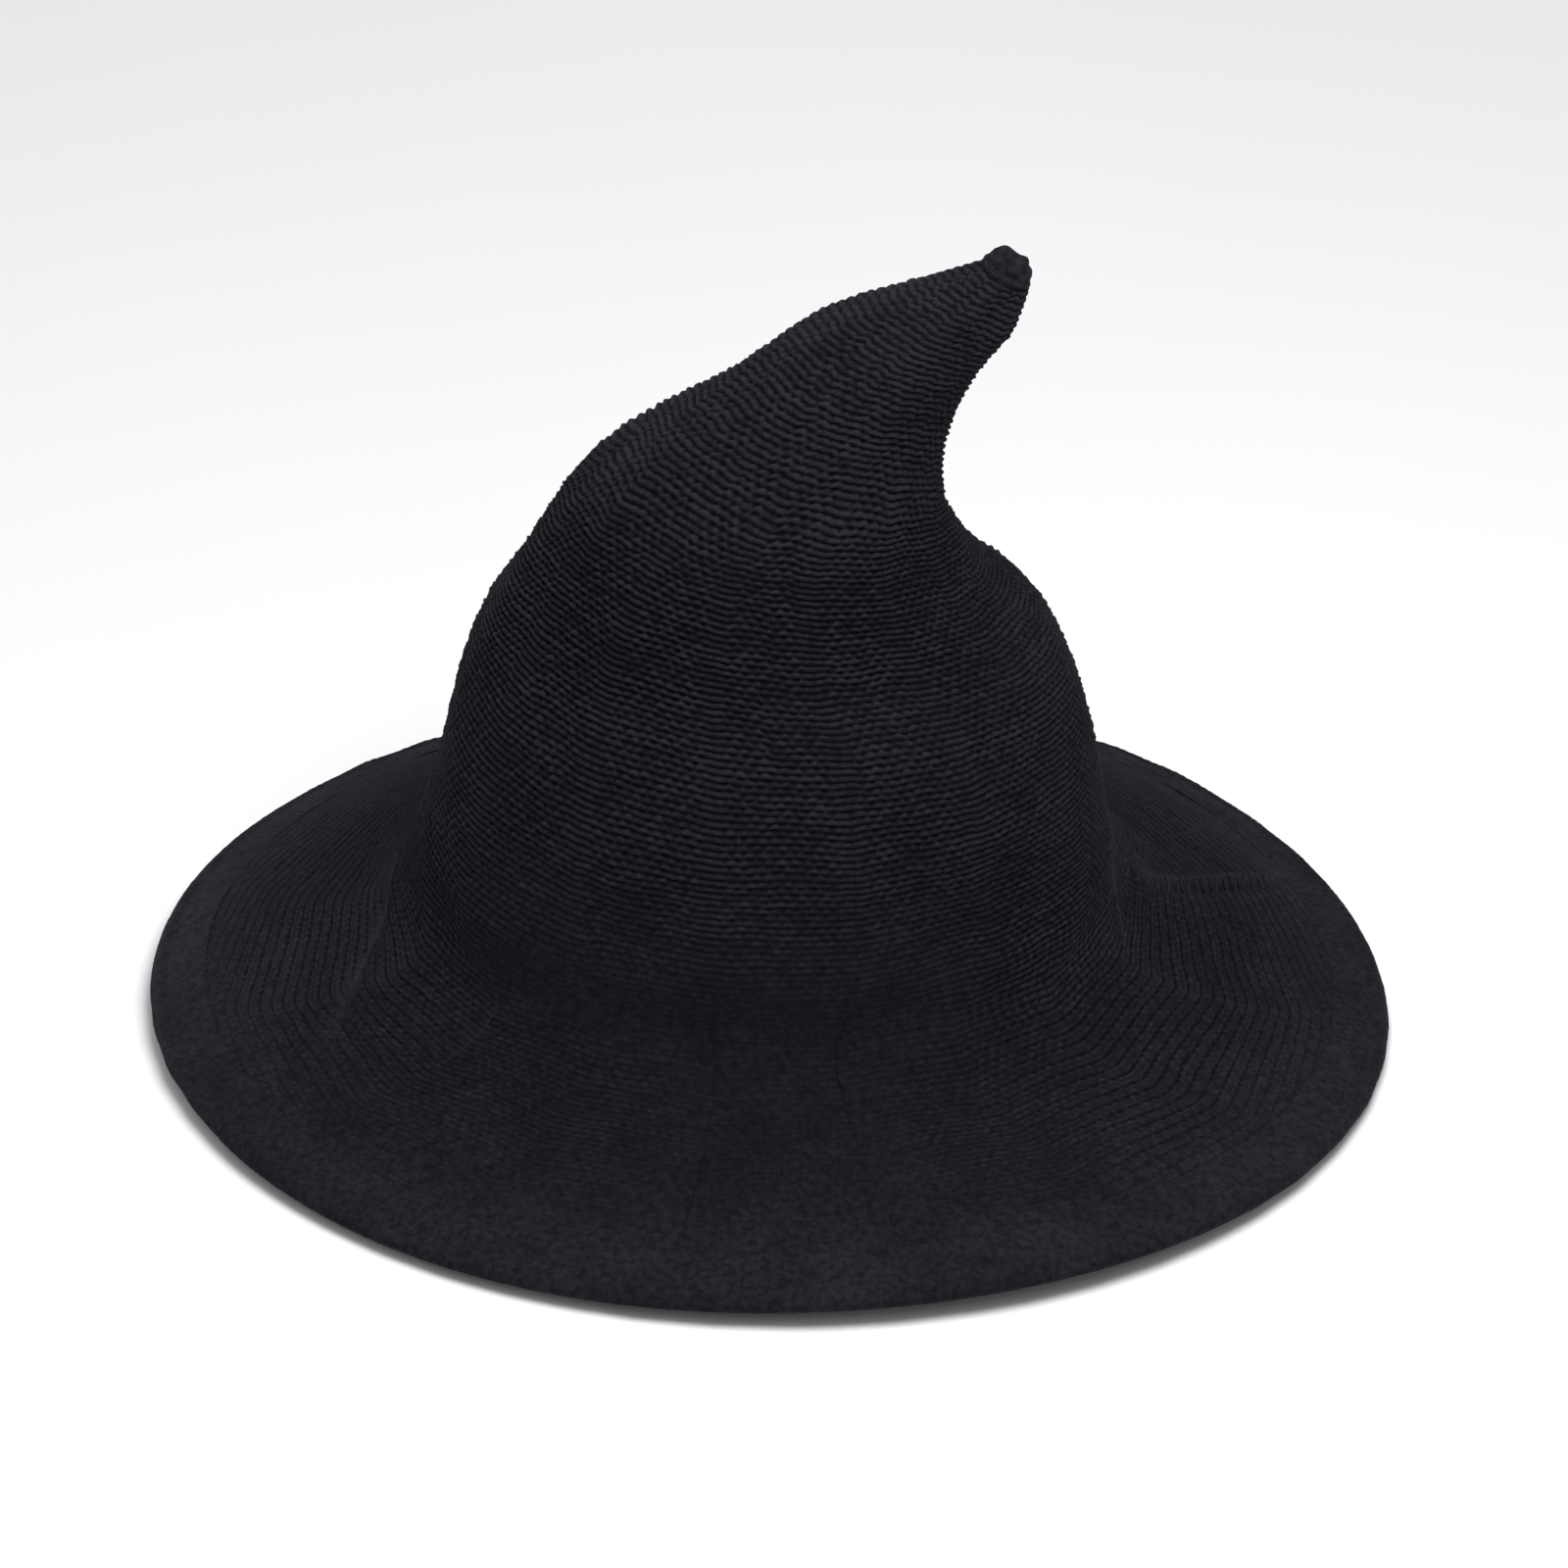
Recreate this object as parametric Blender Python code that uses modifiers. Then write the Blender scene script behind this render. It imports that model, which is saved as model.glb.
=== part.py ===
"""A knitted witch hat: a wide brim on a wire hoop, a soft crown and a peak that leans to one side.

Metres, +Z up. The hem's flat underside rests on Z = 0 with its centre at the origin, and the
peak leans towards +X. The back of the hat is +Y.
"""

import math

import bmesh
import bpy
from mathutils import Matrix, Vector

# Driving dimensions
HEAD_CIRCUMFERENCE = 0.58
KNIT = 0.0027  # thickness of the knit
GAP = 0.0003  # clearance between pieces that touch
SEGMENTS = 60  # facets round every ring, so that neighbouring rings have parallel facets

# The outer surface of the knit from the hem to the tip. Each row is a circular section:
# the x and z of its centre, its lean towards +X in degrees, and its radius.
SECTIONS = (
    (0.000, 0.0058, 0, 0.168),
    (0.000, 0.0245, 0, 0.131),
    (-0.001, 0.036, 0, 0.1105),
    (-0.002, 0.048, 0, 0.0995),
    (-0.002, 0.062, 0, 0.0955),
    (-0.002, 0.092, 0, 0.089),
    (-0.003, 0.120, 0, 0.0805),
    (-0.007, 0.140, 1, 0.0655),
    (-0.006, 0.161, 3, 0.0525),
    (0.001, 0.176, 6, 0.0425),
    (0.014, 0.193, 12, 0.031),
    (0.030, 0.212, 19, 0.023),
    (0.049, 0.226, 25, 0.0145),
    (0.062, 0.238, 28, 0.006),
)

# Places along the outline, counted in rows of SECTIONS: 2.5 is halfway from row 2 to row 3
BRIM_EDGE = 0.055
HEAD_LINE = 3.35
NECK_START = 8.15
FOLD = 9.0
NECK_END = 9.75
TIP_EDGE = 12.8
SEAM = 0.03  # half a millimetre or so between the edges of two lengths of knit

# The hem: the knit folded round the wire, a C in section that is open towards the brim
HEM_RADIUS = 0.1686  # to the middle of the wire
HEM_NOSE = 0.0034
HEM_WALL = 0.0012
HEM_TOP = 0.008  # width of the fold on top of the brim
HEM_UNDER = 0.0071  # width of the fold under the brim, the ring that the hat stands on

# The wire hoop and the sleeve that joins its ends
WIRE = 0.0020
WIRE_END_GAP = 0.001
SLEEVE_OUTER = 0.0035
SLEEVE_WALL = 0.00045
SLEEVE_LENGTH = 0.012

# The sweatband: a ribbon inside the crown, sewn along its lower edge
BAND_FOOT = 0.056
BAND_HEIGHT = 0.024
BAND_THICKNESS = 0.0012
BAND_TAPER = 0.0050  # how much less its radius is at the top

# The care label, sewn at its top edge to the back of the sweatband
LABEL_WIDTH = 0.034
LABEL_DROP = 0.020
LABEL_THICKNESS = 0.0006
LABEL_TOP = 0.0775

# Threads
THREAD = 0.0008
LINK_YARN = 0.0016
LINK_FRONT = math.radians(2)  # where the linking seam is at the head line, from +X
LINK_SWING = math.radians(27)  # how much further back it is at the hem and at the neck

NUB_RADIUS = 0.0058
NUB_HEIGHT = 0.0056


# ---------------------------------------------------------------- the outline


def knot(number):
    """A row of SECTIONS, carried on in a straight line past both ends."""
    last = len(SECTIONS) - 1
    if number < 0:
        return tuple(2 * a - b for a, b in zip(SECTIONS[0], SECTIONS[1]))
    if number > last:
        return tuple(2 * a - b for a, b in zip(SECTIONS[last], SECTIONS[last - 1]))
    return SECTIONS[number]


def section(place):
    """The section at a place along the outline, on a smooth curve through the rows."""
    row = min(int(place), len(SECTIONS) - 2)
    t = place - row
    before, start, end, after = (knot(row + k) for k in (-1, 0, 1, 2))
    return [
        0.5 * (2 * b + (c - a) * t + (2 * a - 5 * b + 4 * c - d) * t**2 + (3 * b - a - 3 * c + d) * t**3)
        for a, b, c, d in zip(before, start, end, after)
    ]


def frame_at(place):
    """The centre of a section as a matrix whose Z is the outline's axis there."""
    x, z, lean, _ = section(place)
    return Matrix.Translation((x, 0, z)) @ Matrix.Rotation(math.radians(lean), 4, "Y")


def on_surface(place, azimuth, lift=0.0):
    """A point on the outer surface, or lifted off it along its normal."""

    def point(place, azimuth):
        radius = section(place)[3]
        return frame_at(place) @ Vector((radius * math.cos(azimuth), radius * math.sin(azimuth), 0))

    step = 0.01
    round_it = point(place, azimuth + step) - point(place, azimuth - step)
    up_it = point(place + step, azimuth) - point(place - step, azimuth)
    return point(place, azimuth) + lift * round_it.cross(up_it).normalized()


def steps(start, end, count):
    return [start + (end - start) * k / count for k in range(count + 1)]


# ---------------------------------------------------------------- building blocks


def clear_scene():
    for obj in list(bpy.data.objects):
        bpy.data.objects.remove(obj)


def collection(name):
    made = bpy.data.collections.new(name)
    bpy.context.scene.collection.children.link(made)
    return made


def material(name, color, roughness, metallic=0.0):
    made = bpy.data.materials.new(name)
    made.use_nodes = True
    shader = made.node_tree.nodes["Principled BSDF"]
    shader.inputs["Base Color"].default_value = (*color, 1)
    shader.inputs["Roughness"].default_value = roughness
    shader.inputs["Metallic"].default_value = metallic
    return made


def smooth(mesh):
    mesh.shade_smooth()
    mesh.set_sharp_from_angle(angle=math.radians(40))


def add(name, data, look, parent):
    """An object whose data is in world coordinates, held by a parent empty."""
    obj = bpy.data.objects.new(name, data)
    obj.data.materials.append(look)
    obj.parent = parent
    obj.matrix_parent_inverse = Matrix.Translation(-parent.location)
    HAT.objects.link(obj)
    return obj


def pivot(name, location, parent=None):
    """An empty on a joint's axis, or at the origin for the pieces that don't move."""
    empty = bpy.data.objects.new(name, None)
    empty.empty_display_size = 0.02
    empty.location = location
    if parent:
        empty.parent = parent
    HAT.objects.link(empty)
    return empty


def knit_shell(name, start, end, count, look, parent):
    """A length of the hat's knit between two places: rings lofted into a shell, then thickened inwards."""
    shell = bmesh.new()
    azimuths = [math.tau * k / SEGMENTS for k in range(SEGMENTS)]
    rings = [[shell.verts.new(on_surface(p, a)) for a in azimuths] for p in steps(start, end, count)]
    for lower, upper in zip(rings, rings[1:]):
        for k in range(SEGMENTS):
            after = (k + 1) % SEGMENTS
            shell.faces.new((lower[k], lower[after], upper[after], upper[k]))
    mesh = bpy.data.meshes.new(name)
    shell.to_mesh(mesh)
    shell.free()
    smooth(mesh)
    obj = add(name, mesh, look, parent)
    wall = obj.modifiers.new("wall", "SOLIDIFY")
    wall.thickness = KNIT
    wall.offset = -1
    wall.use_even_offset = True
    return obj


def turned(name, profile, look, parent, centre_x=0.0):
    """A closed (radius, height) outline turned about Z, listed downwards on its outer side."""
    shape = bmesh.new()
    corners = [shape.verts.new((radius, 0, height)) for radius, height in profile]
    for k, corner in enumerate(corners):
        shape.edges.new((corner, corners[(k + 1) % len(corners)]))
    mesh = bpy.data.meshes.new(name)
    shape.to_mesh(mesh)
    shape.free()
    obj = add(name, mesh, look, parent)
    obj.location.x = centre_x
    turn = obj.modifiers.new("turn", "SCREW")
    turn.axis = "Z"
    turn.steps = SEGMENTS
    turn.render_steps = SEGMENTS
    turn.use_merge_vertices = True
    turn.merge_threshold = 0.00001
    return obj


def strand(name, points, diameter, look, parent, closed=False, roundness=0):
    """A wire or thread along a list of points. A roundness of 0 gives four sides, 1 six and 2 eight."""
    path = bpy.data.curves.new(name, "CURVE")
    path.dimensions = "3D"
    path.bevel_depth = diameter / 2
    path.bevel_resolution = roundness
    path.use_fill_caps = True
    line = path.splines.new("POLY")
    line.points.add(len(points) - 1)
    for point, place in zip(line.points, points):
        point.co = (*place, 1)
    line.use_cyclic_u = closed
    return add(name, path, look, parent)


def arc(centre, radius, start, end, count):
    return [
        (centre[0] + radius * math.cos(math.radians(a)), centre[1] + radius * math.sin(math.radians(a)))
        for a in steps(start, end, count)
    ]


# ---------------------------------------------------------------- the hat's pieces


def make_knit(hat, peak):
    """The hat's one knit, in four lengths: brim, crown, the neck that folds, and the peak."""
    knit_shell("brim_knit", BRIM_EDGE, HEAD_LINE - SEAM, 6, WOOL, hat)
    knit_shell("crown_knit", HEAD_LINE, NECK_START - SEAM, 9, WOOL, hat)
    knit_shell("neck_knit", NECK_START, NECK_END - SEAM, 3, WOOL, hat)
    knit_shell("peak_knit", NECK_END, TIP_EDGE, 6, WOOL, peak)


def make_tip(peak):
    """The nub where the last stitches are drawn together."""
    nub = bmesh.new()
    bmesh.ops.create_uvsphere(nub, u_segments=16, v_segments=8, radius=NUB_RADIUS)
    flatten = Matrix.Scale(NUB_HEIGHT / 2 / NUB_RADIUS, 4, (0, 0, 1))
    rise = Matrix.Translation((0, 0, NUB_HEIGHT / 2 + GAP))
    bmesh.ops.transform(nub, matrix=frame_at(TIP_EDGE) @ rise @ flatten, verts=nub.verts)
    mesh = bpy.data.meshes.new("tip_gather")
    nub.to_mesh(mesh)
    nub.free()
    smooth(mesh)
    add("tip_gather", mesh, WOOL, peak)


def make_hem(hat):
    """The fold round the wire: flat below, round at the nose, and sloping with the brim on top."""
    (_, z0, _, r0), (_, z1, _, r1) = SECTIONS[:2]
    slope = math.atan2(z1 - z0, r0 - r1)
    centre = (HEM_RADIUS, HEM_NOSE)
    crest = 90 - math.degrees(slope)
    outer = arc(centre, HEM_NOSE, crest, -90, 6)
    inner = arc(centre, HEM_NOSE - HEM_WALL, -90, crest, 4)
    top = [(r - HEM_TOP * math.cos(slope), z + HEM_TOP * math.sin(slope)) for r, z in (inner[-1], outer[0])]
    foot = [(HEM_RADIUS - HEM_UNDER, 0), (HEM_RADIUS - HEM_UNDER, HEM_WALL)]
    turned("hem_fold", outer + foot + inner + top, FELT, hat)


def make_wire(hat):
    """The hoop in the hem, an open ring whose ends meet in a crimped sleeve at the back."""
    half = math.pi / SEGMENTS
    start = math.pi / 2 + half
    middle = Vector((math.cos(start), math.sin(start), 0)) * HEM_RADIUS * math.cos(half)
    middle.z = HEM_NOSE
    along = Vector((-math.sin(start), math.cos(start), 0))
    turn = [math.pi / 2 + math.tau * k / SEGMENTS for k in range(1, SEGMENTS + 1)]
    ring = [Vector((HEM_RADIUS * math.cos(a), HEM_RADIUS * math.sin(a), HEM_NOSE)) for a in turn]
    first = middle + along * WIRE_END_GAP / 2
    last = middle - along * WIRE_END_GAP / 2
    strand("brim_wire", [first, *ring, last], WIRE, STEEL, hat, roundness=1)

    tube = bmesh.new()
    bmesh.ops.create_cone(
        tube, segments=16, radius1=SLEEVE_OUTER / 2, radius2=SLEEVE_OUTER / 2, depth=SLEEVE_LENGTH
    )
    lay = Matrix.Translation(middle) @ along.to_track_quat("Z", "Y").to_matrix().to_4x4()
    bmesh.ops.transform(tube, matrix=lay, verts=tube.verts)
    mesh = bpy.data.meshes.new("wire_sleeve")
    tube.to_mesh(mesh)
    tube.free()
    smooth(mesh)
    sleeve = add("wire_sleeve", mesh, STEEL, hat)
    wall = sleeve.modifiers.new("wall", "SOLIDIFY")
    wall.thickness = SLEEVE_WALL
    wall.offset = -1


def make_hem_stitching(hat):
    """A zigzag of thread that holds the top of the fold down on the brim."""
    count = 2 * SEGMENTS
    places = (0.175, 0.205)
    points = [
        on_surface(places[k % 2], math.tau * (k + 0.5) / count, THREAD / 2 + GAP) for k in range(count)
    ]
    strand("hem_stitching", points, THREAD, THREAD_LOOK, hat, closed=True)


def band_radius(height):
    """The radius of the sweatband's inner face at a height."""
    return HEAD_CIRCUMFERENCE / math.tau - BAND_TAPER * (height - BAND_FOOT) / BAND_HEIGHT


def make_sweatband(hat):
    """The ribbon round the head, and the thread along its lower edge."""
    centre_x = SECTIONS[4][0]
    top = BAND_FOOT + BAND_HEIGHT
    foot_radius = band_radius(BAND_FOOT)
    top_radius = band_radius(top)
    profile = [
        (top_radius + BAND_THICKNESS, top),
        (foot_radius + BAND_THICKNESS, BAND_FOOT),
        (foot_radius, BAND_FOOT),
        (top_radius, top),
    ]
    turned("sweatband", profile, RIBBON, hat, centre_x)

    count = 2 * SEGMENTS
    points = []
    for k in range(count):
        azimuth = math.tau * (k + 0.5) / count
        height = BAND_FOOT + (0.0025, 0.0040)[k % 2]
        radius = band_radius(height) * math.cos(math.pi / SEGMENTS) - THREAD / 2 - GAP
        points.append((centre_x + radius * math.cos(azimuth), radius * math.sin(azimuth), height))
    strand("sweatband_stitching", points, THREAD, THREAD_LOOK, hat, closed=True)


def link_azimuth(place):
    """The linking seam's azimuth: it swings back both ways from the head line."""
    reach = HEAD_LINE if place < HEAD_LINE else NECK_START - HEAD_LINE
    return LINK_FRONT + LINK_SWING * ((place - HEAD_LINE) / reach) ** 2


def make_linking_seam(hat):
    """The yarn that links the knit's two side edges, from the hem up to the neck."""
    places = steps(0.26, NECK_START - 0.12, 84)
    sway = 0.0008
    points = []
    for k, place in enumerate(places):
        azimuth = link_azimuth(place) + (-1) ** k * sway / section(place)[3]
        points.append(on_surface(place, azimuth, LINK_YARN / 2 + 2 * GAP))
    strand("linking_seam", points, LINK_YARN, WOOL, hat)


def label_plane():
    """How far back the label hangs: clear of the sweatband at both of its top corners."""
    radius = band_radius(LABEL_TOP + 0.002) * math.cos(math.pi / SEGMENTS)
    return math.sqrt(radius**2 - (LABEL_WIDTH / 2 + 0.003) ** 2) - LABEL_THICKNESS / 2 - GAP


def make_label(hat, flap):
    """A blank care label that hangs from its top edge, and the tacks that hold it there."""
    blank = bmesh.new()
    bmesh.ops.create_cube(blank, size=1)
    size = Matrix.Diagonal((LABEL_WIDTH, LABEL_THICKNESS, LABEL_DROP, 1))
    middle = flap.location - Vector((0, 0, LABEL_DROP / 2))
    bmesh.ops.transform(blank, matrix=Matrix.Translation(middle) @ size, verts=blank.verts)
    mesh = bpy.data.meshes.new("care_label")
    blank.to_mesh(mesh)
    blank.free()
    add("care_label", mesh, LABEL_LOOK, flap)

    count = 16
    height = flap.location.z + THREAD + GAP
    points = []
    for k in range(count + 1):
        x = flap.location.x + LABEL_WIDTH * (k / count - 0.5)
        points.append((x, flap.location.y, height + (0.0007 if k % 2 else 0)))
    strand("label_stitches", points, THREAD, THREAD_LOOK, hat)


def build():
    hat = pivot("hat", (0, 0, 0))
    fold_x, fold_z = section(FOLD)[:2]
    peak = pivot("peak_bend", (fold_x, 0, fold_z), hat)
    flap = pivot("label_flap", (SECTIONS[4][0], label_plane(), LABEL_TOP), hat)
    make_knit(hat, peak)
    make_tip(peak)
    make_hem(hat)
    make_wire(hat)
    make_hem_stitching(hat)
    make_sweatband(hat)
    make_linking_seam(hat)
    make_label(hat, flap)


clear_scene()
HAT = collection("witch_hat")
WOOL = material("wool", (0.0137, 0.0130, 0.0168), 0.95)
FELT = material("hem_knit", (0.0185, 0.0176, 0.0222), 0.95)
RIBBON = material("ribbon", (0.010, 0.010, 0.012), 0.6)
THREAD_LOOK = material("thread", (0.012, 0.012, 0.015), 0.7)
STEEL = material("steel_wire", (0.55, 0.55, 0.56), 0.35, 1.0)
LABEL_LOOK = material("label_satin", (0.72, 0.71, 0.68), 0.5)
build()
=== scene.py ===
"""The knitted witch hat's looks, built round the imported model.

Metres, +Z up. The knit is one height field of purl stitches over the hat's outline. A point on it
has two coordinates: its length, the distance from the hem along the outline, and its azimuth.
"""

import math

import bpy
import numpy as np
from mathutils import Matrix, Vector


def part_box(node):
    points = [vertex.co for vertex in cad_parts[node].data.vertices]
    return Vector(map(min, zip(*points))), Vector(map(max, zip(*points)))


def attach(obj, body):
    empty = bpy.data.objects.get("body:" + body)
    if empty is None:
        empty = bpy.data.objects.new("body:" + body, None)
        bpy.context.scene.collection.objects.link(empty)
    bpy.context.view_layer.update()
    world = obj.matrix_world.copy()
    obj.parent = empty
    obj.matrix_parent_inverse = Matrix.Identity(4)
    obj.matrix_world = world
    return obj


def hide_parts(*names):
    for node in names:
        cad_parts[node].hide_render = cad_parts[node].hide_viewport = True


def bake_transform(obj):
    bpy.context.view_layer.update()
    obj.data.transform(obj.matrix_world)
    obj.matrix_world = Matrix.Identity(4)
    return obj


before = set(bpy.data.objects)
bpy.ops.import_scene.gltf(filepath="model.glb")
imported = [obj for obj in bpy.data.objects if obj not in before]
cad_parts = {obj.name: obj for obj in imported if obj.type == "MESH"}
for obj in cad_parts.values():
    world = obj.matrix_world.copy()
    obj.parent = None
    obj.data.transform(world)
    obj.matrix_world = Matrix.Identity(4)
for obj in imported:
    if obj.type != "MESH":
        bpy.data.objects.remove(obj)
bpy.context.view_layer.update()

TAU = math.tau

# The outline that the CAD model's knit has, from the hem to the tip. Each row is a circular
# section: the x and z of its centre, its lean towards +X in degrees, and its radius.
SECTIONS = (
    (0.000, 0.0058, 0, 0.168),
    (0.000, 0.0245, 0, 0.131),
    (-0.001, 0.036, 0, 0.1105),
    (-0.002, 0.048, 0, 0.0995),
    (-0.002, 0.062, 0, 0.0955),
    (-0.002, 0.092, 0, 0.089),
    (-0.003, 0.120, 0, 0.0805),
    (-0.007, 0.140, 1, 0.0655),
    (-0.006, 0.161, 3, 0.0525),
    (0.001, 0.176, 6, 0.0425),
    (0.014, 0.193, 12, 0.031),
    (0.030, 0.212, 19, 0.023),
    (0.049, 0.226, 25, 0.0145),
    (0.062, 0.238, 28, 0.006),
)

# Places along the outline, counted in rows of SECTIONS
BRIM_EDGE = 0.055
HEAD_LINE = 3.35
NECK_START = 8.15
TIP_EDGE = 12.8

# The knit: its gauge, and the wedges that it is shaped in
COURSE = 0.0039
STITCH = 0.0035
KNIT = 0.0027  # thickness
RELIEF = 0.0010  # height of the stitches
SUNK = 0.55  # share of the relief that lies below the CAD outline
WEDGES = 14
WEDGE = TAU / WEDGES
FIRST_KINK = math.radians(3)
KINK_SWEEP = math.radians(25)  # how far the wedges' edges sweep to the front up the brim
KINK_ROUNDING = 0.006
DRAW_IN = 0.20  # how much farther in the rows run round the back of the brim
SLACK = 0.0006  # depth of the cloth's slow unevenness

# Its meshes: bands that end at these courses, counted from the hem
BAND_ENDS = (6, 13, 21, 31, 41, 52, 66)
ROWS_PER_COURSE = 10
COLUMN = 0.0007  # width of a mesh column at the foot of each band
COARSE = 5  # fine columns and rows to each one of the inner side

# Along the outline, at the places in KEYS: how closely the courses lie, how far they run as straight
# chords of a wedge, and how far they are raised at the front, lowered at the right, raised at both
# sides, and raised on the diagonal from the front right to the back left. Then how flat the wedges
# are, how deep the stitches are, how full the valley in the middle of a course is, and how light the
# yarn is painted: darkest at the crown's foot as painted shade, and lighter or darker up the crown
# and peak as painted light and shade.
KEYS = (0, 0.3, 0.6, 1, 2, 3, 4, 5, 6, 7, 8, 9, 10, 13)
GAUGES = (1.04, 1.04, 1.04, 1.04, 1.06, 1.05, 1.06, 1.15, 1.15, 1.10, 1.02, 0.70, 0.74, 0.80)
CHORDS = (0.6, 0.75, 0.85, 0.85, 0.85, 0.5, 0.3, 0.25, 0.25, 0.3, 0.35, 0.35, 0.3, 0.2)
RISES = (0, 0, 0, 0, 0, 0.01, 0.0, 0.03, 0.14, 0.25, 0.30, 0.30, 0.34, 0.24)
LEANS = (0, 0, 0, 0, 0, 0, 0.02, 0.06, 0.11, 0.16, 0.20, 0.23, 0.155, 0.0)
SPREADS = (0, 0, 0, 0, 0, 0, 0.0, 0.0, 0.035, 0.06, 0.06, 0.07, 0.05, 0.01)
TWISTS = (0, 0, 0, 0, 0, 0, 0.02, 0.02, 0.027, 0.034, 0.045, 0.06, 0.057, 0.03)
FACETS = (0.0, 0.1, 0.2, 0.35, 0.3, 0.2, 0.12, 0.10, 0.10, 0.12, 0.12, 0.1, 0.1, 0.1)
DEPTHS = (0.10, 0.28, 0.60, 0.75, 0.75, 0.80, 0.85, 0.9, 1.0, 1.05, 1.05, 1.05, 1.0, 0.9)
FULLNESS = (0.65, 0.65, 0.65, 0.6, 0.5, 0.1, 0, 0, 0, 0, 0, 0, 0, 0)
TONES_WITH_PAINTED_LIGHT = (0.72, 0.63, 0.49, 0.42, 0.39, 0.37, 0.44, 0.52, 0.51, 0.34, 0.32, 0.47, 0.51, 0.52)

# Soft creases at the crown's foot: their places and azimuths in degrees, then their height, their
# width, and how much lighter their crest is painted, a painted highlight along the fold
CREASES = (
    ((0.7, 1.5, 2.2, 2.95, 3.5), (208, 199, 189, 170, 158), 0.0020, 0.0034, 0.34),
    ((2.4, 3.2, 3.9), (344, 354, 357), 0.0010, 0.0022, 0.30),
)

# The raised line beside the linking seam, towards the back, and the groove before it: distance from
# the seam, width, height, and how much lighter the cloth is painted, a painted highlight on the line
# and painted shade in the groove
SEAM_CREST = (0.0028, 0.0020, 0.0022, 0.26)
SEAM_GROOVE = (-0.0006, 0.0018, -0.0020, -0.25)

# The rim's waves, above the flat ring that it stands on: how many round it, and their heights
RIM_WAVES = ((2, 0.00114), (3, 0.00138))

# The linking seam's azimuth, which swings back both ways from the head line
LINK_FRONT = math.radians(2)
LINK_SWING = math.radians(25)
LINK_START = 0.26
LINK_END = NECK_START - 0.12


# ---------------------------------------------------------------- the outline


def curve(rows, place):
    """A smooth curve through rows of numbers, at places that are counted in rows."""
    rows = np.vstack([2 * rows[0] - rows[1], rows, 2 * rows[-1] - rows[-2]])
    place = np.asarray(place, float)
    row = np.clip(place.astype(int), 0, len(rows) - 4)
    t = (place - row)[..., None]
    a, b, c, d = (rows[row + k] for k in range(4))
    return 0.5 * (
        2 * b + (c - a) * t + (2 * a - 5 * b + 4 * c - d) * t**2 + (3 * b - a - 3 * c + d) * t**3
    )


def outline(place):
    """Centre x, centre z, lean in radians and radius at an array of places."""
    rows = np.array(SECTIONS, float)
    rows[:, 2] = np.radians(rows[:, 2])
    return curve(rows, place)


# A fine scale along the outline: places, and the length, radius and course at each
PLACES = np.linspace(-0.3, TIP_EDGE + 0.2, 4000)
STEPS = np.linalg.norm(np.diff(outline(PLACES)[:, [0, 1, 3]], axis=0), axis=1)
LENGTHS = np.concatenate([[0], np.cumsum(STEPS)])
LENGTHS -= np.interp(0, PLACES, LENGTHS)
RADII = outline(PLACES)[:, 3]
COURSES = np.concatenate([[0], np.cumsum(STEPS * np.interp(PLACES[1:], KEYS, GAUGES))]) / COURSE


def length_at(place):
    """Distance from the hem along the outline."""
    return np.interp(place, PLACES, LENGTHS)


def place_at(length):
    return np.interp(length, LENGTHS, PLACES)


def smoothstep(value, start, end):
    t = np.clip((value - start) / (end - start), 0, 1)
    return t * t * (3 - 2 * t)


def ripple(length, azimuth, seed, turns, wave, count=8):
    """Smooth noise round the hat, about -1 to 1, of waves up to so many turns and down to a length."""
    draw = np.random.default_rng(seed)
    total = 0
    for _ in range(count):
        round_it = draw.integers(-turns, turns + 1)
        up_it = TAU / wave * draw.uniform(0.2, 1)
        total = total + np.sin(round_it * azimuth + up_it * length + draw.uniform(0, TAU))
    return total / math.sqrt(count)


def wedge(place, azimuth):
    """Angle from the middle of its wedge, the wedge's number, and its chord, which is 0 at a kink."""
    sweep = KINK_SWEEP * (1 - np.exp(-place)) * smoothstep(place, 4.2, 2.4)
    turn = (azimuth + sweep * np.cos(azimuth) - FIRST_KINK) / WEDGE
    number = np.floor(turn)
    off = (turn - number - 0.5) * WEDGE
    chord = np.cos(off) / math.cos(WEDGE / 2) - 1
    rounded = np.sqrt(chord**2 + KINK_ROUNDING**2) - KINK_ROUNDING
    return off / (1 - sweep * np.sin(azimuth)), number.astype(int) % WEDGES, rounded


def rim_wave(azimuth):
    """Height of the rim over the flat ring, never below it."""
    return sum(size * (1 - np.cos(turns * azimuth)) for turns, size in RIM_WAVES)


def link_azimuth(place):
    """Where the linking seam runs."""
    reach = np.where(place < HEAD_LINE, HEAD_LINE, NECK_START - HEAD_LINE)
    return LINK_FRONT + LINK_SWING * np.abs((place - HEAD_LINE) / reach) ** 1.5


def from_link(place, azimuth, radius):
    """Distance round the hat from the linking seam, towards the back."""
    turn = (azimuth - link_azimuth(place) + math.pi) % TAU - math.pi
    return turn * radius


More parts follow.
